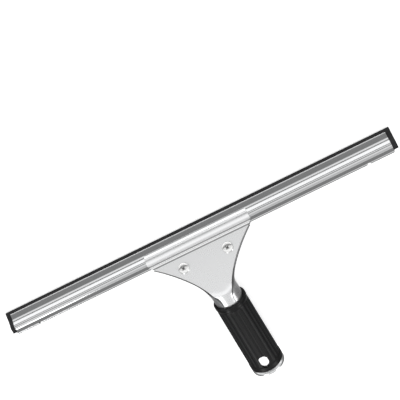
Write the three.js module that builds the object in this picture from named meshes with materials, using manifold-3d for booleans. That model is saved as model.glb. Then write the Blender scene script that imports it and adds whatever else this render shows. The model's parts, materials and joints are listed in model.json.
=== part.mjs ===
// Window squeegee: a rubber blade in a stainless channel, held in the screw-clamped jaw of a stainless
// handle with a rubber grip. Millimetres and degrees, +Z up, lying as it rests on a table.
// Head frame: X along the channel, Y towards the working edge, Z out of the clamp plate's front face,
// origin midway between the two clamp screws.
import * as THREE from "three";
import { mergeVertices } from "three/addons/utils/BufferGeometryUtils.js";
import Module from "manifold-3d";

// ---- Driving dimensions ----
const fitGap = 0.3; // between pieces that touch on the real object
const slideGap = 0.35; // beside pieces that slide or lift past each other

const bladeLength = 355;
const bladeThickness = 2.2;
const bladeReveal = 2.9; // rubber showing past the channel's lips
const bladeOverhang = 4.3; // rubber showing past each channel end

const channelDepth = 17.7; // spine to lip
const channelSheet = 0.9;
const channelBulge = 1.7; // how far the bulge stands out of the flat lips
const bulgeStart = 3.6; // from the outside of the spine
const bulgeCrest = 6.4;
const bulgeEnd = 13.4;
const bulbPlay = 0.45; // how much lower the rubber's bulb stands than the bulge
const channelLean = 8; // channel against the flat of the clamp plate
const windowInset = 22; // from a channel end to its clip window
const windowLength = 2.8;
const windowDepth = 1.3;

const clipLength = 26;
const clipSheet = 0.5;
const clipSideGap = 0.45; // between the leaf's edges and the channel's sides
const clipShow = 1; // leaf past the channel's end
const nubRadius = 0.9;
const nubHeight = 0.2;

const spineToScrews = 10.4; // screw line to the outside of the channel's spine
const plateSheet = 1.4;
const jawHalfLength = 47;
const jawReach = 12.3; // from the spine to the tip of each jaw, along the channel
const jawRise = 2.3; // how high each jaw's fold arches
const jawFoot = 2.7; // from the spine to the foot of the fold
const jawCornerHalf = 43.3; // half width of the plate where its flanks start
const jawEndRound = 4.5;
const flankStart = 9; // Y of the flanks' upper end
const flankPull = 11.5; // how far the flanks are drawn in: middle point of their curve
const flankEnd = 7.5; // where the flanks run into the tongue, past the bend
const beadHeight = 0.55;
const beadAt = 11.2;
const beadHalf = 1.5;
const bendAt = -32.5; // Y where the plate bends into its tongue
const tongueHalf = 5.4;
const tongueLength = 24; // past the bend

const bodySheet = 1.2;
const bodyDepth = 8; // back of the head below the plate's front face, less the rim drop
const rimDrop = 0.3; // body's rim below the plate's front face
const floorEnd = -8; // Y where the flat back of the head ends
const bodyCorner = 4.5;

const handleLean = 30; // tube axis against the flat of the clamp plate
const tubeNeckRadius = 12.4;
const tubeEndRadius = 13.6;
const gripStart = 14.5; // from the bend along the tube
const gripLength = 76;
const lipShow = 4; // steel lip past the end of the grip
const lipFlare = 1.6; // lip's radius over the tube's
const lipRise = 1.6;
const seamHalf = 0.3;
const roundShare = 0.99; // the tube's corner radii as a share of its radius, so no side has no length
const nearlyFlat = 1e-6; // least crown across the clamp plate as a share of the tube's: a finite radius
const hangHoleWidth = 7.6;
const hangHoleLength = 11.5;
const hangHoleToEnd = 14.5; // centre of the hanging hole to the end of the tube

const gripCollarWall = 1.8;
const gripCollarLength = 4.6;
const gripTopWall = 1.25;
const gripLowWall = 0.95;
const gripFootWall = 1.45;
const gripFootLength = 5;

const screwSpacing = 40;
const screwHeadRadius = 4.8;
const screwHeadHeight = 2.7;
const screwRadius = 2.5;
const screwPlay = 0.4; // radial clearance round the shank
const recessLength = 4.6;
const recessWidth = 1.1;
const recessDepth = 1.7;
const nutWall = 1.9;
const nutHeight = 3.4;
const nutCollarWall = 0.7;
const seatGap = 0.1; // under the screw heads and the nuts

// ---- Materials ----
const stainless = (color, roughness) =>
  new THREE.MeshStandardMaterial({ color, roughness, metalness: 1 });
const rubber = (color, roughness) =>
  new THREE.MeshStandardMaterial({ color, roughness, metalness: 0 });

// ---- Helpers ----
const radians = THREE.MathUtils.degToRad;
const mix = THREE.MathUtils.lerp;
const smooth = (value, from, to) => THREE.MathUtils.smoothstep(value, from, to);
const range = (count, from, to) =>
  Array.from({ length: count + 1 }, (_, i) => mix(from, to, i / count));

const wasm = await Module();
wasm.setup();

// A closed three.js geometry as a solid that can be joined and cut.
function solid(geometry) {
  const loose = geometry.index ? geometry.toNonIndexed() : geometry.clone();
  loose.deleteAttribute("normal");
  loose.deleteAttribute("uv");
  const merged = mergeVertices(loose, 1e-4);
  return new wasm.Manifold(
    new wasm.Mesh({
      numProp: 3,
      vertProperties: merged.getAttribute("position").array,
      triVerts: new Uint32Array(merged.index.array),
    }),
  );
}

function geometryOf(made) {
  const mesh = made.getMesh();
  const geometry = new THREE.BufferGeometry();
  geometry.setAttribute("position", new THREE.BufferAttribute(mesh.vertProperties, 3));
  geometry.setIndex(new THREE.BufferAttribute(mesh.triVerts, 1));
  geometry.computeVertexNormals();
  return geometry;
}

function piece(name, made, material) {
  const mesh = new THREE.Mesh(geometryOf(made), material);
  mesh.name = name;
  return mesh;
}

// Outline of a sheet of even thickness that follows an open mid-line.
function sheetOutline(midline, thickness) {
  const sides = [[], []];
  midline.forEach((point, i) => {
    const before = midline[Math.max(i - 1, 0)];
    const after = midline[Math.min(i + 1, midline.length - 1)];
    const along = after.clone().sub(before).normalize();
    const across = new THREE.Vector2(-along.y, along.x).multiplyScalar(thickness / 2);
    sides[0].push(point.clone().sub(across));
    sides[1].unshift(point.clone().add(across));
  });
  return new THREE.Shape([...sides[0], ...sides[1]]);
}

// A bar along X with its section drawn in Y and Z.
function barAlongX(section, length) {
  const bar = new THREE.ExtrudeGeometry(section, { depth: length, bevelEnabled: false });
  bar.translate(0, 0, -length / 2);
  const [x, y, z] = [new THREE.Vector3(1, 0, 0), new THREE.Vector3(0, 1, 0), new THREE.Vector3(0, 0, 1)];
  return bar.applyMatrix4(new THREE.Matrix4().makeBasis(y, z, x));
}

// A flat blank bent to shape. Each row of the blank is placed by place(row, across, side), with across
// from -1 to 1 over the width and side from -1 on the back to 1 on the front.
function pressedSheet(rows, columns, place) {
  const last = rows.length - 1;
  const blank = new THREE.BoxGeometry(2, 2, last, columns, 1, last);
  const at = blank.getAttribute("position");
  for (let i = 0; i < at.count; i += 1) {
    const row = rows[Math.round(at.getZ(i) + last / 2)];
    const point = place(row, at.getX(i), at.getY(i));
    at.setXYZ(i, point.x, point.y, point.z);
  }
  return solid(blank);
}

// A round bar along Z between two heights.
function post(radius, low, high, sides = 32) {
  const bar = new THREE.CylinderGeometry(radius, radius, high - low, sides);
  bar.rotateX(Math.PI / 2);
  bar.translate(0, 0, (low + high) / 2);
  return bar;
}

// ---- Channel frame: Y from the outside of the spine to the lip, Z out of the front ----
const channelLength = bladeLength - 2 * bladeOverhang;
const lipMid = bladeThickness / 2 + fitGap + channelSheet / 2; // lip's mid-line off the channel's middle
const channelHalf = lipMid + channelSheet / 2;
// The bulge's height as a share of its crest's, steeper towards the spine than towards the lip.
const bulgeSkew = Math.log(0.5) / Math.log((bulgeCrest - bulgeStart) / (bulgeEnd - bulgeStart));
const bulgeAt = (y) =>
  y > bulgeStart && y < bulgeEnd
    ? Math.sin(Math.PI * ((y - bulgeStart) / (bulgeEnd - bulgeStart)) ** bulgeSkew) ** 2
    : 0;
const bulgeSteps = range(14, bulgeStart, bulgeEnd);

function channelSection() {
  const spineRadius = 1.2;
  const front = [new THREE.Vector2(channelDepth, lipMid)];
  for (const y of [...bulgeSteps].reverse()) {
    front.push(new THREE.Vector2(y, lipMid + channelBulge * bulgeAt(y)));
  }
  for (const turn of range(4, 0, Math.PI / 2)) {
    front.push(
      new THREE.Vector2(
        channelSheet / 2 + spineRadius * (1 - Math.sin(turn)),
        lipMid - spineRadius * (1 - Math.cos(turn)),
      ),
    );
  }
  const back = [...front].reverse().map((p) => new THREE.Vector2(p.x, -p.y));
  return sheetOutline([...front, ...back], channelSheet);
}

function makeChannel() {
  let made = solid(barAlongX(channelSection(), channelLength));
  for (const end of [-1, 1]) {
    const window = new THREE.BoxGeometry(windowLength, 2 * windowDepth, 4 * channelHalf);
    window.translate(end * (channelLength / 2 - windowInset), 0, 0);
    made = made.subtract(solid(window));
  }
  return made;
}

// The rubber's own section: a flat strip with a bulb that fills the channel's bulge.
const bladeTail = channelSheet + clipSheet + 2 * fitGap;
function bladeSection() {
  const half = bladeThickness / 2;
  const bulb = channelBulge - bulbPlay;
  const front = [new THREE.Vector2(channelDepth + bladeReveal, half)];
  for (const y of [...bulgeSteps].reverse()) {
    front.push(new THREE.Vector2(y, half + bulb * bulgeAt(y)));
  }
  front.push(new THREE.Vector2(bladeTail, half));
  const back = [...front].reverse().map((p) => new THREE.Vector2(p.x, -p.y));
  return new THREE.Shape([...front, ...back]);
}

// A leaf that lies along the spine behind the rubber, with a nub under the channel's window.
function makeClip(end) {
  const clipY = channelSheet + fitGap;
  const clipHalf = lipMid - channelSheet / 2 - clipSideGap;
  const leaf = new THREE.BoxGeometry(clipLength, clipSheet, 2 * clipHalf);
  const outer = channelLength / 2 + clipShow;
  leaf.translate(end * (outer - clipLength / 2), clipY + clipSheet / 2, 0);
  const nub = new THREE.CylinderGeometry(nubRadius * 0.6, nubRadius, nubHeight + clipSheet / 2, 16);
  nub.rotateX(Math.PI);
  nub.translate(end * (channelLength / 2 - windowInset), clipY + (clipSheet / 2 - nubHeight) / 2, 0);
  return solid(leaf).add(solid(nub));
}

// ---- Head frame ----
const screwHole = screwRadius + screwPlay;
const lean = radians(channelLean);
const valleyLift = fitGap + plateSheet / 2; // plate's mid-line over the channel's flat, at the valley
// The channel sits so that its flat just clears the valley behind the bead.
const valleyDrop = 0.45; // valley's mid-line below the panel's
const channelZ = -(plateSheet / 2 + valleyDrop + valleyLift + channelHalf);
const fromChannel = (y, z) =>
  new THREE.Vector2(
    spineToScrews + y * Math.cos(lean) + z * Math.sin(lean),
    channelZ - y * Math.sin(lean) + z * Math.cos(lean),
  );

// Half width of the plate's flanks at a distance down the plate, where Y is head frame Y and goes on
// past the bend along the tongue.
const tongueStart = bendAt - flankEnd;
function flankHalf(y) {
  const t = THREE.MathUtils.clamp((flankStart - y) / (flankStart - tongueStart), 0, 1);
  return (1 - t) ** 2 * jawCornerHalf + 2 * t * (1 - t) * flankPull + t ** 2 * tongueHalf;
}

// Half width of a jaw at a distance from the spine along the channel, rounded at both corners.
function jawHalf(y) {
  const shoulder = (jawHalfLength - jawCornerHalf) * (1 - smooth(y, -1.6, jawFoot));
  const into = THREE.MathUtils.clamp((y - jawReach * 0.6) / (jawReach * 0.45), 0, 1);
  return jawHalfLength - shoulder - jawEndRound * (1 - Math.sqrt(1 - into ** 2));
}

// Mid-line of a jaw's fold from its tip to its foot, in the channel frame, on the front side.
function foldLine() {
  const chord = (jawReach - jawFoot) / 2;
  const radius = (chord ** 2 + jawRise ** 2) / (2 * jawRise);
  const sweep = Math.asin(chord / radius);
  const middle = (jawReach + jawFoot) / 2;
  const foot = channelHalf + valleyLift;
  return range(12, sweep, -sweep).map((turn) => ({
    y: middle + radius * Math.sin(turn),
    z: foot + jawRise - radius * (1 - Math.cos(turn)),
    turn,
  }));
}

// Handle frame: origin on the tube's axis level with the bend, Y up the axis to the head, Z to the front.
const tilt = radians(handleLean);
const taper = (tubeEndRadius - tubeNeckRadius) / gripLength;
const tubeRadius = (s) => tubeNeckRadius + (s - gripStart) * taper;
const lipRadius = tubeEndRadius + lipFlare;
const tubeLength = gripStart + gripLength + lipShow;
const handleOrigin = new THREE.Vector3(
  0,
  bendAt + tubeRadius(0) * Math.sin(tilt),
  -tubeRadius(0) * Math.cos(tilt),
);
const fromHandle = (x, y, z) =>
  new THREE.Vector3(x, y, z).applyAxisAngle(new THREE.Vector3(1, 0, 0), tilt).add(handleOrigin);

// Plate: fold over the channel, valley, bead, flat panel, bend and curved tongue, all in one sheet.
function plateRows() {
  const rows = [];
  for (const { y, z, turn } of foldLine()) {
    const at = fromChannel(y, z);
    rows.push({ y: at.x, z: at.y, normal: turn + lean, half: jawHalf(y), curl: 0 });
  }
  const foot = rows.at(-1);
  const valleyY = (foot.y + beadAt + beadHalf) / 2 - 0.1;
  const panelZ = -plateSheet / 2;
  rows.push({ y: valleyY, z: panelZ - valleyDrop, normal: lean / 2, half: jawHalf(1.7), curl: 0 });
  for (const t of range(6, 0.75, -1)) {
    rows.push({
      y: beadAt + beadHalf * t,
      z: panelZ + beadHeight * Math.cos((Math.PI / 2) * t) ** 2 - valleyDrop * smooth(t, 0, 1),
      normal: 0.35 * Math.sin(Math.PI * t),
      half: jawHalf(beadAt + beadHalf * t - spineToScrews),
      curl: 0,
    });
  }
  const panelTop = Math.min(flankStart, beadAt - beadHalf) - 0.3;
  const crown = (s) => smooth(s, -5, flankEnd);
  for (const y of range(16, panelTop, bendAt + 1.5)) {
    rows.push({ y, z: panelZ, normal: 0, half: flankHalf(y), curl: crown(bendAt - y) });
  }
  for (const s of [1.5, 3.5, 5.5, flankEnd, 11, 15, tongueLength]) {
    rows.push({ s, half: flankHalf(bendAt - s), curl: crown(s) });
  }
  return rows;
}

// Past the panel the sheet is crowned, from flat to the tube's own radius under the grip.
function placePlate(row, across, side) {
  const out = (side * plateSheet) / 2;
  const outside = tubeRadius(Math.max(row.s ?? 0, 0));
  const crownRadius = outside / Math.max(row.curl, nearlyFlat);
  const turn = (across * row.half) / crownRadius;
  const drop = crownRadius * (1 - Math.cos(turn));
  const x = crownRadius * Math.sin(turn);
  if (row.s === undefined) {
    return new THREE.Vector3(
      x + out * Math.sin(turn),
      row.y + out * Math.sin(row.normal),
      row.z - drop + out * Math.cos(row.normal) * Math.cos(turn),
    );
  }
  // The tongue's outside is flush with the tube's.
  const under = out - plateSheet / 2;
  return fromHandle(x + under * Math.sin(turn), -row.s, outside - drop + under * Math.cos(turn));
}

function makePlate() {
  let made = pressedSheet(plateRows(), 20, placePlate);
  for (const end of [-1, 1]) {
    const hole = post(screwHole, -4 * plateSheet, plateSheet);
    hole.translate((end * screwSpacing) / 2, 0, 0);
    made = made.subtract(solid(hole));
  }
  return made;
}

// Body: a scoop behind the plate that closes into the tube, rolled from one sheet with its seam in front.
function bodyRows() {
  const rows = [];
  const tubeFrom = 12;
  const slotEnd = tongueLength + 1;
  const headTop = flankStart - 0.4;
  const lipFrom = tubeLength - lipShow + 0.3;
  const stops = [
    ...range(4, bendAt - headTop, bendAt - floorEnd),
    ...range(9, bendAt - floorEnd + 3, 0),
    ...range(3, 3, tubeFrom),
    18,
    slotEnd - 0.4,
    slotEnd,
    slotEnd + 1,
    ...range(3, slotEnd + 12, lipFrom - 1),
    ...range(3, lipFrom, lipFrom + lipRise),
    tubeLength,
  ];
  for (const s of stops) {
    const round = smooth(s, bendAt - floorEnd, tubeFrom);
    const plateHalf = flankHalf(bendAt - s);
    const scoopHalf = plateHalf + slideGap + bodySheet + 0.25;
    const flare = lipFlare * smooth(s, lipFrom, lipFrom + lipRise);
    const radius = tubeRadius(Math.max(s, 0)) + flare;
    const blend = 8;
    const half = s > tubeFrom ? radius : (scoopHalf ** blend + radius ** blend) ** (1 / blend);
    // The bend tips the body's edge towards the plate's, so the slot is a little wider there.
    const bendRoom = 0.4 * smooth(s, -22, -6) * (1 - smooth(s, 5, 12));
    const open = s < slotEnd ? plateHalf + slideGap + bendRoom : seamHalf;
    const rim = mix(rimDrop, 0, smooth(s, -14, 4));
    const depth = mix(bodyDepth + rimDrop, 2 * radius, round);
    const closing = smooth(s, -24, tubeFrom);
    rows.push({
      s,
      turn: tilt * smooth(s, -28, tubeFrom),
      half,
      open,
      rim,
      depth,
      radius,
      flare,
      cornerX: mix(bodyCorner, roundShare * radius, round),
      cornerZ: mix(bodyCorner, roundShare * radius, round),
      curlX: mix(half - open, roundShare * radius, closing),
      curlZ: mix(bodySheet + 0.3, roundShare * radius, closing),
    });
  }
  return rows;
}

// One half of the body's section, from the middle of its back to its front edge. The pieces are the
// flat back, the back corner, the side and the inward curl.
const backSteps = 2;
const cornerSteps = 5;
const sideSteps = 1;
const curlSteps = 5;
const halfSteps = backSteps + cornerSteps + sideSteps + curlSteps;
function bodySection(row, step, inset) {
  const { half, open, rim, depth, cornerX, cornerZ, curlX, curlZ } = row;
  const flat = half - cornerX;
  if (step <= backSteps) {
    return [(flat * step) / backSteps, depth - inset];
  }
  if (step <= backSteps + cornerSteps) {
    const turn = ((step - backSteps) / cornerSteps) * (Math.PI / 2);
    return [
      flat + (cornerX - inset) * Math.sin(turn),
      depth - cornerZ + (cornerZ - inset) * Math.cos(turn),
    ];
  }
  const middle = half - curlX;
  const turn = ((step - backSteps - cornerSteps - sideSteps) / curlSteps)
    * Math.acos(Math.max(open - middle, 0) / (curlX - inset));
  return [
    middle + (curlX - inset) * Math.cos(turn),
    rim + curlZ - (curlZ - inset) * Math.sin(turn),
  ];
}

function placeBody(row, across, side) {
  const step = Math.round(Math.abs(across) * halfSteps);
  const [x, depth] = bodySection(row, step, side > 0 ? bodySheet : 0);
  const front =
    row.s < 0
      ? new THREE.Vector3(0, bendAt - row.s, 0)
      : fromHandle(0, -row.s, tubeRadius(row.s) + row.flare);
  return new THREE.Vector3(
    Math.sign(across) * x,
    front.y + depth * Math.sin(row.turn),
    front.z - depth * Math.cos(row.turn),
  );
}

// Rear jaw: the front fold mirrored behind the channel and led into the flat back of the head.
function rearJaw() {
  const rows = foldLine().map(({ y, z, turn }) => {
    const at = fromChannel(y, -z);
    return { y: at.x, z: at.y, normal: lean - turn, half: jawHalf(y) };
  });
  const foot = rows.at(-1);
  const floorZ = -(bodyDepth + rimDrop) + bodySheet / 2;
  const valley = fromChannel(1.9, -(channelHalf + valleyLift - 0.15));
  rows.push({ y: valley.x, z: valley.y, normal: 0.1, half: jawHalf(1.9) });
  for (const t of range(4, 0.2, 1)) {
    rows.push({
      y: mix(valley.x, flankStart - 2, t),
      z: mix(foot.z, floorZ, smooth(t, 0, 0.8)),
      normal: t < 0.9 ? 0.3 * Math.sin(Math.PI * t) : 0,
      half: mix(jawHalf(1), flankHalf(flankStart - 2) + slideGap, smooth(t, 0.2, 1)),
    });
  }
  return pressedSheet(rows, 2, (row, across, side) => {
    const out = (side * bodySheet) / 2;
    return new THREE.Vector3(
      across * row.half,
      row.y + out * Math.sin(row.normal),
      row.z + out * Math.cos(row.normal),
    );
  });
}

// A slot with round ends through the tube and the grip, front to back.
function hangHole(clear) {
  const width = hangHoleWidth / 2 + clear;
  const reach = hangHoleLength / 2 + clear - width;
  const outline = new THREE.Shape();
  outline.absarc(0, reach, width, 0, Math.PI, false);
  outline.absarc(0, -reach, width, Math.PI, 2 * Math.PI, false);
  const through = 3 * lipRadius;
  const slot = new THREE.ExtrudeGeometry(outline, { depth: through, bevelEnabled: false, curveSegments: 8 });
  slot.translate(0, hangHoleToEnd - tubeLength, -through / 2);
  return slot;
}

function toHead(geometry) {
  return geometry.rotateX(tilt).translate(handleOrigin.x, handleOrigin.y, handleOrigin.z);
}

const floorInside = -(bodyDepth + rimDrop) + bodySheet;
const nutCollar = screwHole + nutCollarWall;
function makeBody() {
  let made = pressedSheet(bodyRows(), 2 * halfSteps, placeBody).add(rearJaw());
  for (const end of [-1, 1]) {
    const hole = post(nutCollar + fitGap, floorInside - 2 * bodySheet, floorInside + bodySheet);
    hole.translate((end * screwSpacing) / 2, 0, 0);
    made = made.subtract(solid(hole));
  }
  return made.subtract(solid(toHead(hangHole(0))));
}

// Pan-head screw: domed head with a cross recess on a plain shank.
const screwEnd = floorInside - bodySheet + 0.2;
function makeScrew(end) {
  const dome = [new THREE.Vector2(0, seatGap), new THREE.Vector2(screwHeadRadius, seatGap)];
  for (const turn of range(7, 0.3, Math.PI / 2)) {
    dome.push(
      new THREE.Vector2(
        screwHeadRadius * Math.cos(turn) ** 0.75,
        seatGap + 0.9 + (screwHeadHeight - 0.9) * Math.sin(turn),
      ),
    );
  }
  dome.at(-1).x = 0;
  const head = new THREE.LatheGeometry(dome, 32);
  head.rotateX(Math.PI / 2);
  let made = solid(head).add(solid(post(screwRadius, screwEnd, seatGap + 0.5)));
  for (const turn of [Math.PI / 4, -Math.PI / 4]) {
    const slot = new THREE.BoxGeometry(recessLength, recessWidth, 2 * recessDepth);
    slot.rotateZ(turn);
    slot.translate(0, 0, seatGap + screwHeadHeight);
    made = made.subtract(solid(slot));
  }
  return made.translate([(end * screwSpacing) / 2, 0, 0]);
}

// Press nut: a round body on the inside of the back, its collar pressed through it.
function makeNut(end) {
  const nutLow = floorInside + seatGap;
  return solid(post(screwHole + nutWall, nutLow, nutLow + nutHeight))
    .add(solid(post(nutCollar, floorInside - bodySheet + 0.1, nutLow + 0.2)))
    .subtract(solid(post(screwHole, floorInside - 3 * bodySheet, nutLow + 2 * nutHeight)))
    .translate([(end * screwSpacing) / 2, 0, 0]);
}

// Rubber sleeve with a collar at each end, stretched over the tube.
function makeGrip() {
  const inside = (s) => tubeRadius(s) + fitGap;
  const foot = gripStart + gripLength;
  const collarEnd = gripStart + gripCollarLength;
  const footStart = foot - gripFootLength;
  const outline = [
    [0, gripStart],
    [gripCollarWall - 0.5, gripStart],
    [gripCollarWall, gripStart + 0.7],
    [gripCollarWall, collarEnd - 1],
    [gripTopWall, collarEnd],
    [(gripTopWall + gripLowWall) / 2, mix(collarEnd, footStart, 0.5)],
    [gripLowWall, footStart - 1],
    [gripFootWall, footStart],
    [gripFootWall, foot - 0.7],
    [gripFootWall - 0.6, foot],
    [0, foot],
  ].map(([wall, s]) => new THREE.Vector2(inside(s) + wall, -s));
  const profile = [...outline, outline[0].clone()].reverse();
  const sleeve = new THREE.LatheGeometry(profile, 56);
  return solid(toHead(sleeve)).subtract(solid(toHead(hangHole(fitGap))));
}

// ---- Assembly ----
const head = new THREE.Group();
head.add(piece("handle_body", makeBody(), stainless(0xc4c5c6, 0.28)));
head.add(piece("clamp_plate", makePlate(), stainless(0xd2d3d4, 0.25)));
head.add(piece("grip_sleeve", makeGrip(), rubber(0x202020, 0.6)));
for (const [side, end] of [["left", -1], ["right", 1]]) {
  head.add(piece(`clamp_screw_${side}`, makeScrew(end), stainless(0xc8c8c8, 0.2)));
  head.add(piece(`clamp_nut_${side}`, makeNut(end), stainless(0xb0b0b0, 0.35)));
}

const channelGroup = new THREE.Group();
channelGroup.position.set(0, spineToScrews, channelZ);
channelGroup.rotation.x = -lean;
channelGroup.add(piece("channel", makeChannel(), stainless(0xa9aaab, 0.3)));
channelGroup.add(
  piece("rubber_blade", solid(barAlongX(bladeSection(), bladeLength)), rubber(0x18181a, 0.5)),
);
for (const [side, end] of [["left", -1], ["right", 1]]) {
  channelGroup.add(piece(`blade_clip_${side}`, makeClip(end), stainless(0x8d8d8d, 0.35)));
}
head.add(channelGroup);

// The squeegee rests on the back corner of its working edge and on the steel lip of its handle.
const edge = fromChannel(channelDepth + bladeReveal, -bladeThickness / 2);
const heel = fromHandle(0, -tubeLength, -lipRadius);
head.rotation.x = -Math.atan2(edge.y - heel.z, edge.x - heel.y);

const part = new THREE.Group();
part.add(head);
const box = new THREE.Box3().setFromObject(part, true);
head.position.set(0, -(box.min.y + box.max.y) / 2, -box.min.z);

export default part;
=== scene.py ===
import json
import math

import bmesh
import bpy
from mathutils import Matrix, Vector


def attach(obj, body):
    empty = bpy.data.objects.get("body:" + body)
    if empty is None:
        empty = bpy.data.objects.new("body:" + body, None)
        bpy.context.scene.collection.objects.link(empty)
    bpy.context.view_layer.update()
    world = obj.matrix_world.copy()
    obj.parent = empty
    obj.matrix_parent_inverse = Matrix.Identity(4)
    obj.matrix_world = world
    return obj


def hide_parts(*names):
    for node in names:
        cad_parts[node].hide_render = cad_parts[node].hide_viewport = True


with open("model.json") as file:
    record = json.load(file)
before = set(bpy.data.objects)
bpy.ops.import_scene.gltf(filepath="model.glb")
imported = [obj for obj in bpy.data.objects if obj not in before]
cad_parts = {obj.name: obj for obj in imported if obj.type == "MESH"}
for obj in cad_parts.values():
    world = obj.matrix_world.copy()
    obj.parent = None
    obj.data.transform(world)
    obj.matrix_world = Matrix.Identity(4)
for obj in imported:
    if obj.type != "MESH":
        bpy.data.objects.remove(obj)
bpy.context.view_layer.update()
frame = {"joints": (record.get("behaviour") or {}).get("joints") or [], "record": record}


# ---- Handle body ----
# The back of the head and the tube of the handle are one sheet of stainless steel. It is stamped into a
# scoop with a rear jaw, rolled into a tapered tube with its seam in front, and flared at the open end.
MM = 0.001
ACROSS = Vector((1, 0, 0))
mounts = {mount["name"]: mount for mount in frame["record"]["mounts"]}
joints = {joint["name"]: joint for joint in frame["joints"]}

body_sheet = 1.2
deburr = 0.25  # how far the polishing wheel rounds a sheared edge
body_depth = 8.3  # back of the head below the plate's front face
rim_drop = 0.3
floor_end = -8  # where the flat back of the head ends
body_corner = 4.5
bend_at = -32.5  # where the clamp plate bends into its tongue
tongue_length = 24
tongue_half = 5.4
side_gap = 0.35  # between the clamp plate's flanks and the body's walls

neck_radius = 12.4
end_radius = 13.6
grip_start = 14.5  # from the bend along the tube
grip_length = 76
lip_show = 4
lip_flare = 1.6
tube_length = grip_start + grip_length + lip_show

jaw_half_length = 47
jaw_reach = 12.3
jaw_rise = 2.3
jaw_foot = 2.7
jaw_corner_half = 43.3
jaw_end_round = 4.5
flank_start = 9
flank_pull = 11.5
flank_end = 7.5
spine_to_screws = 10.4

channel_depth = 17.7
channel_half = 2.3
blade_reveal = 2.9
valley_lift = 1.0  # the clamp plate's mid-line over the channel's flat, at the foot of its fold


def working_frame(origin, up):
    """Millimetres to the tool's frame: X across the tool, Y along up, Z out of the front."""
    up = Vector(up).normalized()
    axes = Matrix((ACROSS, up, ACROSS.cross(up))).transposed().to_4x4()
    return Matrix.Translation(origin) @ axes @ Matrix.Scale(MM, 4)


screw_points = [Vector(joints[f"screw_{side}_turn"]["pos_m"]) for side in ("left", "right")]
screw_axis = Vector(joints["screw_left_turn"]["axis"])
head = working_frame((screw_points[0] + screw_points[1]) / 2, screw_axis.cross(ACROSS))

edge_out = Vector(mounts["working_edge"]["axis"])
edge_middle = Vector(mounts["working_edge"]["pos_m"])
channel_frame = working_frame(edge_middle - edge_out * (channel_depth + blade_reveal) * MM, edge_out)

to_head = -Vector(mounts["handle_end_face"]["axis"])
end_middle = Vector(mounts["handle_end_face"]["pos_m"]) * Vector((0, 1, 1))
handle = working_frame(end_middle + to_head * tube_length * MM, to_head)
handle_in_head = head.inverted() @ handle
channel_in_head = head.inverted() @ channel_frame
handle_lean = handle_in_head.to_euler().x


def smooth(value, start, end):
    share = min(max((value - start) / (end - start), 0), 1)
    return share * share * (3 - 2 * share)


def mix(start, end, share):
    return start + (end - start) * share


def steps(count, start, end):
    return [mix(start, end, i / count) for i in range(count + 1)]


def tube_radius(along):
    return neck_radius + (max(along, 0) - grip_start) * (end_radius - neck_radius) / grip_length


def flank_half(y):
    """Half width of the clamp plate's flanks, a curve drawn in towards the tongue."""
    share = min(max((flank_start - y) / (flank_start - bend_at + flank_end), 0), 1)
    rest = 1 - share
    return rest * rest * jaw_corner_half + 2 * share * rest * flank_pull + share * share * tongue_half


def flank_crown(along):
    """How far the clamp plate is rounded to the tube, from flat to full, along the tube."""
    return smooth(along, -5, flank_end)


def jaw_half(y):
    """Half width of a jaw at a distance from the channel's spine, rounded at both corners."""
    shoulder = (jaw_half_length - jaw_corner_half) * (1 - smooth(y, -1.6, jaw_foot))
    into = min(max((y - jaw_reach * 0.6) / (jaw_reach * 0.45), 0), 1)
    return jaw_half_length - shoulder - jaw_end_round * (1 - math.sqrt(1 - into * into))


def fold_line(count, side, lift):
    """A jaw's fold from its tip to its foot, as head frame points with the jaw's half width there."""
    chord = (jaw_reach - jaw_foot) / 2
    radius = (chord * chord + jaw_rise * jaw_rise) / (2 * jaw_rise)
    sweep = math.asin(chord / radius)
    for turn in steps(count, sweep, -sweep):
        y = (jaw_reach + jaw_foot) / 2 + (radius + lift) * math.sin(turn)
        z = channel_half + valley_lift + jaw_rise - radius + (radius + lift) * math.cos(turn)
        yield jaw_half(y), channel_in_head @ Vector((0, y, side * z))


def row_at(rows, point):
    """The row that a point of a grid belongs to, with the first row at the top."""
    return rows[round((1 - point.co.y) / 2 * (len(rows) - 1))]


def pressed(rows, columns, place):
    """A flat blank pressed to shape: place(row, across) gives a point, with across from -1 to 1."""
    sheet = bmesh.new()
    bmesh.ops.create_grid(sheet, x_segments=columns, y_segments=len(rows) - 1, size=1)
    for point in sheet.verts:
        point.co = place(row_at(rows, point), point.co.x)
    return sheet


def draw_out(shape, made, along):
    """Moves the free end of what was just extruded."""
    free = [part for part in made["geom"] if isinstance(part, bmesh.types.BMVert)]
    bmesh.ops.translate(shape, vec=along, verts=free)


def blank(rows, columns, place):
    """A sheet with both its faces: place(row, across, deep), with deep 0 outside and 1 inside."""
    slab = bmesh.new()
    bmesh.ops.create_grid(slab, x_segments=columns, y_segments=len(rows) - 1, size=1)
    draw_out(slab, bmesh.ops.extrude_face_region(slab, geom=slab.faces[:]), (0, 0, 1))
    for point in slab.verts:
        point.co = place(row_at(rows, point), point.co.x, point.co.z)
    bmesh.ops.recalc_face_normals(slab, faces=slab.faces)
    return slab


def turned(profile, count, axis=(0, 0, 1)):
    """A profile on the XZ or XY plane spun round an axis through the origin."""
    lathe = bmesh.new()
    points = [lathe.verts.new(point) for point in profile]
    edges = [lathe.edges.new(pair) for pair in zip(points, points[1:])]
    bmesh.ops.spin(lathe, geom=points + edges, cent=(0, 0, 0), axis=axis, dvec=(0, 0, 0),
                   angle=math.tau, steps=count, use_merge=True, use_duplicate=False)
    bmesh.ops.remove_doubles(lathe, verts=lathe.verts, dist=1e-4)
    bmesh.ops.recalc_face_normals(lathe, faces=lathe.faces)
    return lathe


def as_object(shape, name, place):
    """A mesh in millimetres put in its place in the tool's frame, with its object at the origin."""
    bmesh.ops.transform(shape, matrix=place, verts=shape.verts)
    mesh = bpy.data.meshes.new(name)
    shape.to_mesh(mesh)
    shape.free()
    made = bpy.data.objects.new(name, mesh)
    bpy.context.scene.collection.objects.link(made)
    return made


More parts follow.
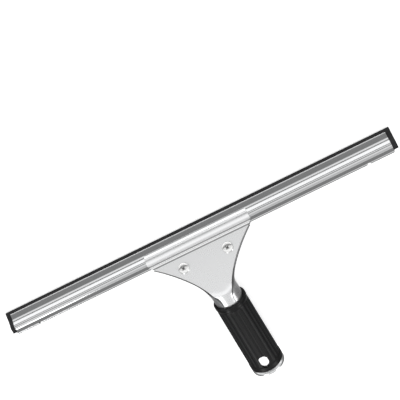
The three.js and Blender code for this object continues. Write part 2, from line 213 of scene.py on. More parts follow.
def settle(piece):
    """Makes a piece's modifiers part of its mesh."""
    graph = bpy.context.evaluated_depsgraph_get()
    settled = bpy.data.meshes.new_from_object(piece.evaluated_get(graph))
    piece.modifiers.clear()
    piece.data = settled
    return piece


def thicken(piece, thickness, side=-1):
    wall = piece.modifiers.new("wall", "SOLIDIFY")
    wall.thickness, wall.offset, wall.use_even_offset = thickness * MM, side, True
    return settle(piece)


def fit(piece, tool, operation):
    """Joins a tool's shape to a piece or cuts it away, and throws the tool away."""
    change = piece.modifiers.new("fit", "BOOLEAN")
    change.operation, change.object, change.solver = operation, tool, "EXACT"
    settle(piece)
    bpy.data.objects.remove(tool)
    return piece


def round_edges(piece, width, count=2, sharper_than=40, chosen=lambda edge: True):
    """Breaks the sharp edges of a finished sheet or block, as a deburring wheel does."""
    shape = bmesh.new()
    shape.from_mesh(piece.data)
    limit = math.radians(sharper_than)
    edges = [edge for edge in shape.edges
             if edge.is_manifold and edge.calc_face_angle() > limit and chosen(edge)]
    bmesh.ops.bevel(shape, geom=edges, offset=width * MM, offset_type="OFFSET", segments=count,
                    profile=0.5, affect="EDGES", material=-1, clamp_overlap=True)
    shape.to_mesh(piece.data)
    shape.free()
    return piece


def finish(piece, body, slot, material, nodes, crease=30):
    """Smooths a piece, gives it its finish, and fixes it to its body in place of its plain nodes."""
    piece.data.materials.clear()
    piece.data.materials.append(material)
    piece.data.shade_smooth()
    piece.data.set_sharp_from_angle(angle=math.radians(crease))
    even = piece.modifiers.new("even shading", "WEIGHTED_NORMAL")
    even.keep_sharp = True
    settle(piece)
    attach(piece, body)
    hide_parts(*nodes)


class Value:
    """A shader's value. Arithmetic on it adds Math nodes to its finish."""

    def __init__(self, finish, socket):
        self.finish, self.socket = finish, socket

    def __add__(self, other):
        return self.finish.math("ADD", self, other)

    def __sub__(self, other):
        return self.finish.math("SUBTRACT", self, other)

    def __rsub__(self, other):
        return self.finish.math("SUBTRACT", other, self)

    def __mul__(self, other):
        return self.finish.math("MULTIPLY", self, other)

    __radd__ = __add__
    __rmul__ = __mul__


class Finish:
    """A procedural surface or sky: a node tree, with node() to add any node to it."""

    def __init__(self, owner, end):
        owner.use_nodes = True
        self.owner, self.tree = owner, owner.node_tree
        self.end = self.tree.nodes[end]

    def node(self, kind, settings, inputs, output=0):
        made = self.tree.nodes.new(kind)
        for name, value in settings.items():
            if name == "stops":
                self.set_stops(made.color_ramp.elements, value)
            else:
                setattr(made, name, value)
        for name, value in inputs.items():
            self.set_input(made, name, value)
        return Value(self, made.outputs[output])

    def math(self, operation, first, second):
        return self.node("ShaderNodeMath", {"operation": operation}, {0: first, 1: second})

    def set_stops(self, elements, stops):
        while len(elements) < len(stops):
            elements.new(0.5)
        for element, (position, level) in zip(elements, stops):
            element.position, element.color = position, (level, level, level, 1)

    def set_input(self, node, name, value):
        if isinstance(value, Value):
            self.tree.links.new(value.socket, node.inputs[name])
        else:
            node.inputs[name].default_value = value

    def surface(self, **inputs):
        for name, value in inputs.items():
            self.set_input(self.end, name.replace("_", " ").title().replace("Ior", "IOR"), value)

    def ramp(self, value, low, high):
        """0 below low and 1 above high, with a smooth change between them, or the other way round."""
        return self.node("ShaderNodeMapRange", {"interpolation_type": "SMOOTHSTEP"},
                         {"Value": value, "From Min": low, "From Max": high})

    def axis(self, place, name):
        """Millimetres along one axis of a working frame."""
        return self.node("ShaderNodeSeparateXYZ", {}, {"Vector": self.laid(place, (1, 1, 1))}, name)

    def noise(self, place, detail=2.0, roughness=0.5):
        return self.node("ShaderNodeTexNoise", {},
                         {"Vector": place, "Scale": 1.0, "Detail": detail, "Roughness": roughness})

    def blend(self, factor, first, second):
        """One colour turning into another."""
        return self.node("ShaderNodeMix", {"data_type": "RGBA"},
                         {"Factor": factor, "A": first, "B": second}, "Result")

    def laid(self, place, size):
        """Object coordinates turned into a working frame, in units of size along its three axes."""
        where = self.node("ShaderNodeTexCoord", {}, {}, "Object")
        return self.node("ShaderNodeMapping", {"vector_type": "TEXTURE"},
                         {"Vector": where, "Location": place.to_translation(),
                          "Rotation": place.to_euler(), "Scale": [length * MM for length in size]})


def steel(name, tint, roughness, place, grain, relief=1.0, paint_shade=None):
    """Stainless: hair-fine brushing along the grain, faint handling marks, uneven polish, and painted shade:
    dark grey and a little rougher where the mask given as the last argument is set."""
    look = Finish(bpy.data.materials.new(name), "Principled BSDF")
    hairs = look.noise(look.laid(place, grain), detail=3.0, roughness=0.65)
    cloud = look.noise(look.laid(place, (14, 14, 14)), detail=3.0)
    marks = look.noise(look.laid(place, [4 * length for length in grain]), detail=4.0, roughness=0.7)
    shade = look.blend(0.55 * hairs + 0.45 * cloud, [0.93 * level for level in tint] + [1],
                       [min(1.05 * level, 1) for level in tint] + [1])
    # The mask paints shade: the colour goes towards dark grey where it is set.
    painted_shade = paint_shade(look) if paint_shade else 0.0
    if paint_shade:
        shade = look.blend(painted_shade, shade, (0.1, 0.1, 0.1, 1))
    grooves = look.node("ShaderNodeBump", {}, {"Strength": 0.25 * relief, "Distance": 0.02 * MM,
                                               "Height": hairs + 0.5 * marks})
    look.surface(base_color=shade, metallic=1.0, normal=grooves,
                 roughness=roughness - 0.05 + 0.06 * hairs + 0.06 * cloud + 0.15 * painted_shade)
    return look.owner


def body_rows():
    head_top = flank_start - 0.4
    tube_from = 12
    lean_from, close_from = -28, -24  # where the scoop starts to lean, and to close into the tube
    slot_end = tongue_length + 1
    lip_from = tube_length - lip_show + 0.3
    lip_end = lip_from + 2.2
    stops = [
        *steps(14, bend_at - head_top, bend_at - floor_end),
        *steps(22, bend_at - floor_end + 1.2, 0),
        *steps(10, 1.2, tube_from),
        *steps(8, tube_from + 1.4, slot_end - 0.4),
        slot_end, slot_end + 0.4, slot_end + 1,
        *steps(20, slot_end + 4, lip_from - 0.8),
        *steps(8, lip_from, lip_end),
        lip_end + 0.7, tube_length,
    ]
    for along in stops:
        round_share = smooth(along, bend_at - floor_end, tube_from)
        plate_half = flank_half(bend_at - along)
        flare = lip_flare * smooth(along, lip_from, lip_end)
        radius = tube_radius(along) + flare
        scoop_half = plate_half + side_gap + body_sheet + 0.25
        bend_room = 0.4 * smooth(along, -22, -6) * (1 - smooth(along, 5, 12))
        opened = plate_half + side_gap + bend_room if along < slot_end else seam_half
        half = radius if along > tube_from else (scoop_half**8 + radius**8) ** (1 / 8)
        closing = smooth(along, close_from, tube_from)
        curl_x = mix(half - opened, 0.995 * radius, closing)
        curl_z = mix(body_sheet + 0.3, 0.995 * radius, closing)
        curl_end = math.sqrt(1 - (max(opened - half + curl_x, 0) / curl_x) ** 2)
        level = flank_crown(along) * radius * (1 - math.cos(opened / radius)) - curl_z * (1 - curl_end)
        yield {
            "front": (Vector((0, bend_at - along, 0)) if along < 0
                      else handle_in_head @ Vector((0, -along, radius))),
            "turn": handle_lean * smooth(along, lean_from, tube_from),
            "half": half,
            "opened": opened,
            "rim": rim_drop * (1 - smooth(along, -14, 4)) + level * (1 - smooth(along, 6, tube_from)),
            "depth": mix(body_depth, 2 * radius, round_share),
            "corner": mix(body_corner, 0.995 * radius, round_share),
            "curl_x": curl_x,
            "curl_z": curl_z,
        }


seam_half = 0.12
back_steps, corner_steps, side_steps, curl_steps = 3, 12, 2, 14
half_steps = back_steps + corner_steps + side_steps + curl_steps


def place_body(row, across, deep):
    """Half a section runs over the flat back, the back corner, the side and the inward curl."""
    step = abs(across) * half_steps
    inset = body_sheet * deep
    flat = row["half"] - row["corner"]
    corner_depth = row["depth"] - row["corner"]
    if step <= back_steps:
        x, depth = flat * step / back_steps, row["depth"] - inset
    elif step <= back_steps + corner_steps:
        turn = (step - back_steps) / corner_steps * math.pi / 2
        x = flat + (row["corner"] - inset) * math.sin(turn)
        depth = corner_depth + (row["corner"] - inset) * math.cos(turn)
    else:
        middle = row["half"] - row["curl_x"]
        sweep = math.acos(min(max(row["opened"] - middle, 0) / (row["curl_x"] - inset), 1))
        turn = max(step - back_steps - corner_steps - side_steps, 0) / curl_steps * sweep
        x = middle + (row["curl_x"] - inset) * math.cos(turn)
        depth = row["rim"] + row["curl_z"] - (row["curl_z"] - inset) * math.sin(turn)
        if step < half_steps - curl_steps:
            depth = mix(corner_depth, depth, (step - back_steps - corner_steps) / side_steps)
    lean = row["turn"]
    return row["front"] + Vector((math.copysign(x, across), depth * math.sin(lean), -depth * math.cos(lean)))


def rear_jaw():
    rows = list(fold_line(24, -1, body_sheet / 2))
    foot = rows[-1][1]
    valley = channel_in_head @ Vector((0, 1.9, -(channel_half + valley_lift - 0.15) - body_sheet / 2))
    rows.append((jaw_half(1.9), valley))
    for share in steps(12, 0.08, 1):
        y = mix(valley.y, flank_start - 2, share)
        z = mix(foot.z, 0.05 - body_depth, smooth(share, 0, 0.8))
        half = mix(jaw_half(1), flank_half(flank_start - 2) + side_gap, smooth(share, 0.2, 1))
        rows.append((half, Vector((0, y, z))))
    sheet = pressed(rows, 24, lambda row, across: row[1] + Vector((across * row[0], 0, 0)))
    bmesh.ops.reverse_faces(sheet, faces=sheet.faces)
    return thicken(as_object(sheet, "rear_jaw", head), body_sheet)


def slot_tool(clear):
    """The punch for the hanging hole, a slot with round ends through the handle, front to back."""
    width = hang_width / 2 + clear
    reach = hang_length / 2 + clear - width
    punch = bmesh.new()
    bmesh.ops.create_circle(punch, cap_ends=True, segments=48, radius=width)
    for point in punch.verts:
        point.co.y += math.copysign(reach, point.co.y) if abs(point.co.y) > 1e-4 else 0
        point.co += Vector((0, hang_to_end - tube_length, -2 * end_radius))
    draw_out(punch, bmesh.ops.extrude_face_region(punch, geom=punch.faces[:]), (0, 0, 4 * end_radius))
    bmesh.ops.recalc_face_normals(punch, faces=punch.faces)
    return as_object(punch, "punch", handle)


def drill(radius, low, high, x, place=head):
    """The drill for a round hole along a frame's Z."""
    bit = bmesh.new()
    bmesh.ops.create_cone(bit, cap_ends=True, segments=48, radius1=radius, radius2=radius, depth=high - low)
    bmesh.ops.translate(bit, vec=(x, 0, (low + high) / 2), verts=bit.verts)
    return as_object(bit, "drill", place)


hang_width = 7.6
hang_length = 11.5
hang_to_end = 14.5
screw_at = (screw_points[1] - screw_points[0]).length / 2 / MM
floor_inside = body_sheet - body_depth
nut_collar_radius = 3.6
collar_room = 0.3  # between a nut's collar and its hole

scoop = blank(list(body_rows()), 2 * half_steps, place_body)
body = fit(as_object(scoop, "handle_shell", head), rear_jaw(), "UNION")
for x in (-screw_at, screw_at):
    hole = drill(nut_collar_radius + collar_room, floor_inside - 3, floor_inside + body_sheet, x)
    fit(body, hole, "DIFFERENCE")
fit(body, slot_tool(0), "DIFFERENCE")
round_edges(body, deburr, sharper_than=50)


def painted_rim_shade(look):
    """Painted shade: the body's rim along the clamp plate is darkened to a dark line, and made a little
    rougher.
    """
    return 0.75 * look.ramp(look.axis(head, "Z"), -1.7, -1.1) * look.ramp(look.axis(head, "Y"), 9.5, 8.5)


# The body's steel has painted shade along its rim beside the clamp plate.
body_steel = steel("body_steel", (0.78, 0.785, 0.79), 0.27, head, (0.25, 30, 0.25), paint_shade=painted_rim_shade)
finish(body, "handle", "body_steel", body_steel, ["handle_body"])


# ---- Press nuts ----
# Two round steel nuts whose collars are pressed through holes in the back of the head. The clamp screws
# run in them.
nut_radius = 4.8
nut_height = 3.4
nut_bore = 2.9
seat_gap = 0.1
nut_thread = 0.12  # depth of the ridges in the bore
chamfer = 0.35
nut_low = floor_inside + seat_gap
nut_top = nut_low + nut_height
collar_low = nut_low - body_sheet
nut_threads = [(nut_bore + nut_thread * (i % 2), z)
               for i, z in enumerate(steps(8, collar_low + 0.7, nut_low + 3))]
nut_profile = [
    (nut_bore + chamfer, nut_top), (nut_radius - chamfer, nut_top),
    (nut_radius, nut_top - chamfer), (nut_radius, nut_low),
    (nut_collar_radius, nut_low), (nut_collar_radius, collar_low),
    (nut_bore + chamfer, collar_low), (nut_bore, collar_low + chamfer),
    *nut_threads, (nut_bore, nut_top - chamfer), (nut_bore + chamfer, nut_top),
]
nut_steel = steel("nut_steel", (0.66, 0.66, 0.65), 0.33, head, (0.2, 0.2, 6))
for side, x in (("left", -screw_at), ("right", screw_at)):
    nut = as_object(turned([(radius, 0, z) for radius, z in nut_profile], 64),
                    f"press_nut_{side}", head @ Matrix.Translation((x, 0, 0)))
    finish(nut, "handle", "nut_steel", nut_steel, [f"clamp_nut_{side}"])


# ---- Grip ----
# A sleeve of black rubber stretched over the tube: a collar round its mouth, fine lengthwise ribs, and a
# plain foot band against the steel lip. The hanging hole goes through it.
grip_gap = 0.3
grip_foot = grip_start + grip_length
collar_wall, top_wall, low_wall, foot_wall = 1.8, 1.25, 0.95, 1.45
collar_end = grip_start + 4.6
foot_start = grip_foot - 5
rib_count = 28
rib_height = 0.4
rib_sharpness = 5  # how narrow a rib's crest is
rib_sink = 0.4  # how far the ground between the ribs lies below the plain wall, as a share of their height


def arc(centre, radius, start, end, count):
    """Points of a round stretch of a profile, in degrees from the X axis."""
    for turn in steps(count, math.radians(start), math.radians(end)):
        yield centre[0] + radius * math.cos(turn), centre[1] + radius * math.sin(turn)


def grip_wall(along):
    """The sleeve's wall between its collar and its foot band."""
    waist = mix(top_wall, low_wall, smooth(along, collar_end, foot_start))
    collar = (collar_wall - top_wall) * (1 - smooth(along, collar_end - 1.4, collar_end + 0.6))
    foot = (foot_wall - low_wall) * smooth(along, foot_start - 0.8, foot_start + 0.3)
    return waist + collar + foot


def grip_profile():
    rim, toe = 0.75, 0.7
    mouth = tube_radius(grip_start) + grip_gap
    outline = [(mouth, grip_start + 1.5), (mouth, grip_start + 0.4)]
    outline += [(mouth + collar_wall - rim + rim * math.cos(turn), grip_start + rim - rim * math.sin(turn))
                for turn in steps(8, 0.75 * math.pi, 0)]
    outline.append((mouth + collar_wall - 0.22, grip_start + 1.55))
    collar_side = [*steps(5, grip_start + 1.9, collar_end - 1.4),
                   *steps(7, collar_end - 1.1, collar_end + 0.8)]
    foot_side = [*steps(5, foot_start - 0.7, foot_start + 0.5), *steps(4, foot_start + 1.2, grip_foot - toe)]
    for along in [*collar_side, *steps(26, collar_end + 2, foot_start - 1), *foot_side]:
        outline.append((tube_radius(along) + grip_gap + grip_wall(along), along))
    end = tube_radius(grip_foot) + grip_gap
    outline += [(end + foot_wall - toe + toe * math.cos(turn), grip_foot - toe + toe * math.sin(turn))
                for turn in steps(6, math.pi / 12, math.pi / 2)]
    outline += [(end, grip_foot), (mouth, grip_start + 1.5)]
    return [(radius, -along, 0) for radius, along in outline]


sleeve = turned(grip_profile(), rib_count * 12, axis=(0, 1, 0))
for point in sleeve.verts:
    along = -point.co.y
    radius = math.hypot(point.co.x, point.co.z)
    outside = smooth(radius - tube_radius(along), grip_gap + 0.5, grip_gap + 0.7)
    past_collar = smooth(along, collar_end + 0.2, collar_end + 2.4)
    before_foot = 1 - smooth(along, foot_start - 2.6, foot_start - 0.8)
    crest = (0.5 + 0.5 * math.cos(rib_count * math.atan2(point.co.x, point.co.z))) ** rib_sharpness
    growth = 1 + rib_height * (crest - rib_sink) * outside * past_collar * before_foot / radius
    point.co.x *= growth
    point.co.z *= growth
grip = as_object(sleeve, "rubber_grip", handle)
fit(grip, slot_tool(0.3), "DIFFERENCE")

rubber_look = Finish(bpy.data.materials.new("grip_rubber"), "Principled BSDF")
skin = rubber_look.noise(rubber_look.laid(handle, (0.35, 0.35, 0.35)), detail=3.0, roughness=0.7)
dust = rubber_look.noise(rubber_look.laid(handle, (9, 22, 9)), detail=4.0)
moulded = rubber_look.ramp(rubber_look.axis(handle, "Y"), -collar_end - 2, -collar_end)
black = rubber_look.blend(dust, (0.002, 0.002, 0.0022, 1), (0.006, 0.006, 0.0063, 1))
pores = rubber_look.node("ShaderNodeBump", {}, {"Strength": 0.35, "Distance": 0.03 * MM, "Height": skin})
rubber_look.surface(base_color=black, roughness=0.34 + 0.1 * dust - 0.19 * moulded, normal=pores,
                    specular_ior_level=0.25)
finish(grip, "handle", "grip_rubber", rubber_look.owner, ["grip_sleeve"], crease=50)


# ---- Channel ----
# A stainless strip rolled into a channel: a flat spine, a bulge each side that holds the rubber's bulb,
# and two flat lips with rounded corners. Near each end a window is punched through the spine for the clip.
channel_length = 346.4
channel_sheet = 0.9
channel_bulge = 1.7
bulge_start, bulge_crest, bulge_end = 3.6, 6.4, 13.4
bulge_skew = math.log(0.5) / math.log((bulge_crest - bulge_start) / (bulge_end - bulge_start))
lip_outside = channel_half
spine_radius = 1.0
lip_roll, lip_roll_length = 0.16, 0.8  # the lip's edge turned in towards the rubber
window_inset, window_length, window_depth = 22, 2.8, 1.3
lip_corner = {-1: 1.1, 1: 2.4}


def bulge(y):
    share = min(max((y - bulge_start) / (bulge_end - bulge_start), 0), 1)
    return math.sin(math.pi * share ** bulge_skew) ** 2


def bar(section, length, closed):
    """A section in a frame's Y and Z, drawn out along X."""
    rolled = bmesh.new()
    points = [rolled.verts.new((-length / 2, y, z)) for y, z in section]
    if closed:
        drawn = bmesh.ops.extrude_face_region(rolled, geom=[rolled.faces.new(points)])
    else:
        edges = [rolled.edges.new(pair) for pair in zip(points, points[1:])]
        drawn = bmesh.ops.extrude_edge_only(rolled, edges=edges)
    draw_out(rolled, drawn, (length, 0, 0))
    return rolled


def channel_outline():
    """Outside of the front half of the section, from the lip to the middle of the spine."""
    for share in steps(4, 1, 0):
        yield channel_depth - lip_roll_length * (1 - share), lip_outside - lip_roll * share * share
    for y in steps(36, bulge_end + 0.2, bulge_start - 0.2):
        yield y, lip_outside + channel_bulge * bulge(y)
    yield from arc((spine_radius, lip_outside - spine_radius), spine_radius, 90, 180, 7)


front = list(channel_outline())
strip = bar(front + [(y, -z) for y, z in reversed(front)], channel_length, closed=False)
bmesh.ops.recalc_face_normals(strip, faces=strip.faces)
for end, width in lip_corner.items():
    corners = [v for v in strip.verts if v.co.y > channel_depth - 0.01 and v.co.x * end > 0]
    bmesh.ops.bevel(strip, geom=corners, offset=width, offset_type="OFFSET", segments=6, profile=0.5,
                    affect="VERTICES", material=-1)
channel = thicken(as_object(strip, "blade_channel", channel_frame), channel_sheet)
for end in (-1, 1):
    punch = bmesh.new()
    bmesh.ops.create_cube(punch, size=1)
    bmesh.ops.scale(punch, vec=(window_length, 2 * window_depth, 4 * channel_half), verts=punch.verts)
    at = Matrix.Translation((end * (channel_length / 2 - window_inset), 0, 0))
    fit(channel, as_object(punch, "punch", channel_frame @ at), "DIFFERENCE")
round_edges(channel, 0.22, sharper_than=50)
channel_steel = steel("channel_steel", (0.62, 0.625, 0.63), 0.11, channel_frame, (60, 0.3, 0.3), relief=0.6)
finish(channel, "channel", "channel_steel", channel_steel, ["channel"])


# ---- Rubber blade ----
# One extruded strip of soft black rubber, cut square at its ends. Its bulb sits in the channel's bulge and
# its straight edge, which wipes the glass, stands out of the lips.
blade_length = 355
blade_thickness = 2.2
blade_tail = 2.0
bulb = 1.25
half = blade_thickness / 2
front = [(channel_depth + blade_reveal, half)]
front += [(y, half + bulb * bulge(y)) for y in steps(20, bulge_end + 0.2, bulge_start - 0.2)]
front.append((blade_tail, half))
strip = bar(front + [(y, -z) for y, z in reversed(front)], blade_length, closed=True)
bmesh.ops.recalc_face_normals(strip, faces=strip.faces)
blade = as_object(strip, "blade_rubber_strip", channel_frame)
round_edges(blade, 0.12, sharper_than=60)

wiper = Finish(bpy.data.materials.new("blade_rubber"), "Principled BSDF")
drawn = wiper.noise(wiper.laid(channel_frame, (40, 0.5, 0.5)), detail=3.0, roughness=0.6)
bloom = wiper.noise(wiper.laid(channel_frame, (18, 6, 6)), detail=4.0)
black = wiper.blend(bloom, (0.008, 0.008, 0.009, 1), (0.02, 0.02, 0.021, 1))
lines = wiper.node("ShaderNodeBump", {}, {"Strength": 0.2, "Distance": 0.02 * MM, "Height": drawn})
wiper.surface(base_color=black, roughness=0.42 + 0.1 * bloom, normal=lines, specular_ior_level=0.3)
finish(blade, "blade", "blade_rubber", wiper.owner, ["rubber_blade"])


# ---- Blade clips ----
# A leaf of spring steel in each end of the channel, behind the rubber. A nub under the channel's window
# keeps the rubber from walking out, and the leaf's end, out past the channel's end, is pulled to free it.
clip_length = 26
clip_sheet = 0.5
clip_half = 0.95
leaf_bow = 0.16  # how far the leaf's middle stands off the spine, taken from its thickness
nub_radius, nub_root, nub_top = 0.7, 0.05, 0.2
clip_show = 1
clip_seat = channel_sheet + 0.3
clip_steel = steel("clip_steel", (0.52, 0.515, 0.5), 0.3, channel_frame, (8, 0.2, 0.2))
for side, end in (("left", -1), ("right", 1)):
    outer = channel_length / 2 + clip_show
    rows = [(outer - clip_length * share, leaf_bow * math.sin(math.pi * share)) for share in steps(30, 0, 1)]
    leaf = pressed(rows, 4, lambda row, across: Vector((end * row[0], clip_seat + clip_sheet / 2 + row[1],
                                                        across * clip_half)))
    clip = thicken(as_object(leaf, f"leaf_clip_{side}", channel_frame), clip_sheet - leaf_bow, 0)
    nub_at = Matrix.Translation((end * (channel_length / 2 - window_inset), clip_seat + clip_sheet, 0))
    nub_outline = [*arc((0, nub_root), nub_radius, -90, 0, 8), (nub_radius, nub_top), (0, nub_top)]
    nub = turned([(x, 0, z) for x, z in nub_outline], 32)
    bmesh.ops.rotate(nub, cent=(0, 0, 0), matrix=Matrix.Rotation(-math.pi / 2, 3, "X"), verts=nub.verts)
    fit(clip, as_object(nub, "nub", channel_frame @ nub_at), "UNION")
    round_edges(clip, 0.06, sharper_than=60)
    finish(clip, f"blade_clip_{side}", "clip_steel", clip_steel, [f"blade_clip_{side}"])


# ---- Clamp plate ----
# A stamped stainless plate with a half-round fold over the channel, a stiffening bead, a flat panel for
# the two screws, and a curved tongue that goes into the tube's mouth under the grip.
plate_sheet = 1.4
bead_at, bead_half, bead_height = 11.2, 1.5, 0.32
groove_at, groove_half, groove_depth = 9.75, 0.5, 0.07
valley_drop = 0.45
# crease_at and groove_at are also where painted shade darkens the plate.
crease_at = 12.6  # the upper crease beside the bead
nearly_flat = 1e-6  # least crown, which keeps its radius finite
edge_roll = 1.2  # how far the press rolls the plate's front edge


def swell(y, middle, half):
    """A pressed rib's rise, as a share of its height."""
    return math.cos(math.pi / 2 * min(abs(y - middle) / half, 1)) ** 2


def plate_rows():
    """Half width and mid-line point of each row, with how round it is and how far down the tongue."""
    rows = [(half, point, 0, None) for half, point in fold_line(30, 1, 0)]
    panel_z = -plate_sheet / 2
    foot = rows[-1][1]
    valley_y = (foot.y + bead_at + bead_half) / 2 - 0.1
    rows.append((jaw_half(1.7), Vector((0, valley_y, panel_z - valley_drop)), 0, None))
    for y in steps(24, bead_at + 0.75 * bead_half, bead_at - 1.5 * bead_half):
        rise = bead_height * swell(y, bead_at, bead_half) - groove_depth * swell(y, groove_at, groove_half)
        rise -= valley_drop * smooth(y, bead_at, bead_at + bead_half)
        rows.append((jaw_half(y - spine_to_screws), Vector((0, y, panel_z + rise)), 0, None))
    panel_top = flank_start - 0.3
    for y in steps(36, panel_top, bend_at + 1.5):
        rows.append((flank_half(y), Vector((0, y, panel_z)), flank_crown(bend_at - y), None))
    for along in [*steps(8, 1.0, flank_end), *steps(8, 9, tongue_length)]:
        rows.append((flank_half(bend_at - along), None, flank_crown(along), along))
    return rows


def place_plate(row, across):
    """The sheet's mid-line, crowned past the panel until it lies flush in the tube's mouth."""
    half, point, crown, along = row
    radius = tube_radius(along or 0)
    crown_radius = radius / max(crown, nearly_flat)
    turn = across * half / crown_radius
    drop = crown_radius * (1 - math.cos(turn))
    if point:
        return point + Vector((crown_radius * math.sin(turn), 0, -drop))
    x = (crown_radius - plate_sheet / 2) * math.sin(turn)
    return handle_in_head @ Vector((x, -along, radius - drop - plate_sheet / 2 * math.cos(turn)))


plate = thicken(as_object(pressed(plate_rows(), 40, place_plate), "front_plate", head), plate_sheet, 0)
for x in (-screw_at, screw_at):
    fit(plate, drill(nut_bore, -4, 2, x), "DIFFERENCE")
plate_front = head.to_quaternion() @ Vector((0, 0, 1))


def on_front(edge):
    return max(face.normal.dot(plate_front) for face in edge.link_faces) > 0.45


round_edges(plate, edge_roll, 8, 50, on_front)
round_edges(plate, deburr, 2, 50)


def painted_crease_shade(look):
    """Painted shade in the two fine creases beside the bead."""
    across = look.axis(head, "Y")
    lines = [look.ramp(look.math("ABSOLUTE", across - at, 0.0), 0.75, 0.35) for at in (crease_at, groove_at)]
    return 0.75 * (lines[0] + lines[1])


# The plate's steel has painted shade along the two creases beside the bead.
plate_steel = steel("plate_steel", (0.86, 0.865, 0.87), 0.27, head, (0.25, 30, 0.25), paint_shade=painted_crease_shade)
finish(plate, "clamp_plate", "plate_steel", plate_steel, ["clamp_plate"])


# ---- Clamp screws ----
# Two domed stainless machine screws with a cross recess. They draw the clamp plate down on the channel.
head_radius, head_height = 4.8, 2.7
shank_radius = 2.5
thread_depth = 0.28
recess_depth = 1.7
recess_span, recess_width = 4.6, 1.1
recess_foot_span, recess_foot_width = 0.42, 0.7  # at its bottom, as shares of its size at the top
screw_low = floor_inside - body_sheet + 0.2


def painted_recess_shade(look):
    """Painted shade in the screwdriver's cross, below the top of the dome."""
    beside = look.math("ABSOLUTE", look.axis(head, "X"), 0.0) - screw_at
    reach = look.math("SQRT", beside * beside + look.axis(head, "Y") * look.axis(head, "Y"), 0.0)
    return 0.95 * look.ramp(reach, 2.5, 2.2) * look.ramp(look.axis(head, "Z"), 2.45, 2.1)


# The screws' steel has painted shade in the cross recess.
screw_steel = steel("screw_steel", (0.82, 0.82, 0.815), 0.14, head, (3, 3, 3), relief=0.5, paint_shade=painted_recess_shade)


def driver_blade(x, angle):
    """One of the two tapered blades of the driver that the cross fits."""
    punch = bmesh.new()
    bmesh.ops.create_cube(punch, size=1)
    bmesh.ops.scale(punch, vec=(recess_span, recess_width, 2 * recess_depth), verts=punch.verts)
    for point in punch.verts:
        if point.co.z < 0:
            point.co.x *= recess_foot_span
            point.co.y *= recess_foot_width
    crosswise = Matrix.Rotation(math.radians(angle), 3, "Z")
    bmesh.ops.rotate(punch, cent=(0, 0, 0), matrix=crosswise, verts=punch.verts)
    return as_object(punch, "cross", head @ Matrix.Translation((x, 0, seat_gap + head_height)))


for side, x in (("left", -screw_at), ("right", screw_at)):
    dome = [(head_radius * math.cos(turn) ** 0.75, seat_gap + 0.9 + (head_height - 0.9) * math.sin(turn))
            for turn in steps(20, 0.12, math.pi / 2 - 0.02)]
    threads = [(shank_radius - thread_depth * (i % 2), z)
               for i, z in enumerate(steps(18, screw_low + 0.5, -1.4))]
    profile = [(0, screw_low), (shank_radius - 0.5, screw_low), *threads, (shank_radius - 0.1, seat_gap),
               (head_radius - 0.2, seat_gap), (head_radius, seat_gap + 0.25), *dome,
               (0, seat_gap + head_height)]
    screw = as_object(turned([(radius, 0, z) for radius, z in profile], 96), f"machine_screw_{side}",
                      head @ Matrix.Translation((x, 0, 0)))
    fit(screw, fit(driver_blade(x, 45), driver_blade(x, 135), "UNION"), "DIFFERENCE")
    finish(screw, f"clamp_screw_{side}", "screw_steel", screw_steel, [f"clamp_screw_{side}"], crease=35)


# ---- Camera, floor and light ----
# The tool lies on a pale table under a white studio tent, seen square to its clamp plate.
view_distance = 720 * MM
view_azimuth, view_elevation, view_roll = 9.1, 1.6, 25.9
aim_right, aim_up = -0.373, 3.75
lens = 79.3

floor = bmesh.new()
bmesh.ops.create_grid(floor, x_segments=1, y_segments=1, size=4)
floor = as_object(floor, "table_top", Matrix.Translation((0, 0, -0.2 * MM)))
table = Finish(bpy.data.materials.new("table_white"), "Principled BSDF")
table.surface(base_color=(0.93, 0.93, 0.93, 1), roughness=0.7,
              emission_color=(1, 1, 1, 1), emission_strength=0.55)
floor.data.materials.append(table.owner)
floor.visible_glossy = False


def angled(azimuth, elevation):
    """A direction in the head frame, from the clamp plate's normal."""
    azimuth, elevation = math.radians(azimuth), math.radians(elevation)
    local = Vector((math.sin(azimuth) * math.cos(elevation), math.sin(elevation),
                    math.cos(azimuth) * math.cos(elevation)))
    return (head.to_quaternion() @ local).normalized()


def look_from(owner, place, right, up, back):
    owner.matrix_world = Matrix.Translation(place) @ Matrix((right, up, back)).transposed().to_4x4()


camera = bpy.data.objects.new("camera", bpy.data.cameras.new("camera"))
bpy.context.scene.collection.objects.link(camera)
camera.data.lens = lens
towards = angled(view_azimuth, view_elevation)
level = (-towards).cross(head.to_quaternion() @ Vector((0, 1, 0))).normalized()
turn = Matrix.Rotation(-math.radians(view_roll), 3, towards)
right = turn @ level
up = turn @ level.cross(-towards)
aside = math.tan(math.radians(aim_right)) * right + math.tan(math.radians(aim_up)) * up
ahead = (aside - towards).normalized()
right = ahead.cross(up).normalized()
look_from(camera, head.to_translation() + towards * view_distance, right, right.cross(ahead), -ahead)
bpy.context.scene.camera = camera

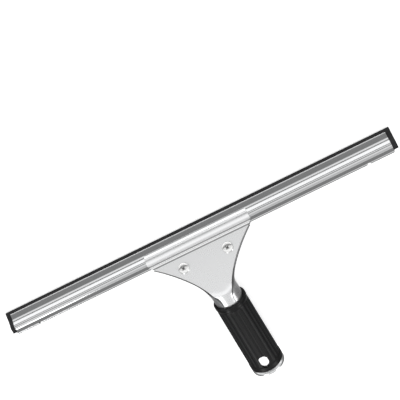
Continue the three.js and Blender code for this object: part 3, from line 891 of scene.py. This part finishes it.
sky = Finish(bpy.data.worlds.new("studio"), "Background")
bpy.context.scene.world = sky.owner
heading = sky.node("ShaderNodeMapping", {"vector_type": "TEXTURE"}, {
    "Vector": sky.node("ShaderNodeTexCoord", {}, {}, "Generated"), "Rotation": head.to_euler()})
sideways, upward, outward = [sky.node("ShaderNodeSeparateXYZ", {}, {"Vector": heading}, axis)
                             for axis in "XYZ"]
around = sky.math("ARCTAN2", upward, outward) * (180 / math.pi)
# The tent's brightness by the angle from the clamp plate's normal, with the working edge's side positive.
tent_levels = (
    (-180, 0.35), (-95, 0.4), (-85, 0.75), (-70, 0.75), (-50, 0.8), (-42, 1.15), (-18, 1.1), (-8, 0.88),
    (2, 0.95), (7, 0.3), (22, 0.3), (28, 1.2), (41, 1.2), (44, 0.15), (49, 0.15), (53, 1.6), (80, 1.6),
    (92, 0.35), (180, 0.3),
)
tent_stops = [((angle + 180) / 360, level) for angle, level in tent_levels]
tent = sky.node("ShaderNodeValToRGB", {"stops": tent_stops}, {"Fac": around * (1 / 360) + 0.5}, "Color")
flag = sky.ramp(outward, 0.2, 0.0) * sky.ramp(sky.math("ABSOLUTE", sideways, 0.0), 0.3, 0.7)
tent = sky.blend(flag, tent, (0.2, 0.2, 0.2, 1))
seen = sky.node("ShaderNodeLightPath", {}, {}, "Is Camera Ray")
light = sky.blend(seen, tent, (1, 1, 1, 1))
sky.set_input(sky.end, "Color", light)
sky.set_input(sky.end, "Strength", 1.0)


def softbox(name, azimuth, elevation, distance, size, power):
    """A square diffused lamp, aimed at the middle of the head."""
    lamp = bpy.data.objects.new(name, bpy.data.lights.new(name, "AREA"))
    bpy.context.scene.collection.objects.link(lamp)
    lamp.data.shape, lamp.data.size, lamp.data.energy = "SQUARE", size, power
    away = angled(azimuth, elevation)
    side = away.cross(Vector((0, 0, 1)) if abs(away.z) < 0.95 else Vector((0, 1, 0))).normalized()
    look_from(lamp, head.to_translation() + away * distance, away.cross(side) * -1, side, away)


softbox("left_light", -74, -58, 1.2, 0.3, 1.3)
softbox("right_light", 80, -56, 1.2, 0.3, 1.3)


bpy.context.scene.view_settings.view_transform = "Standard"
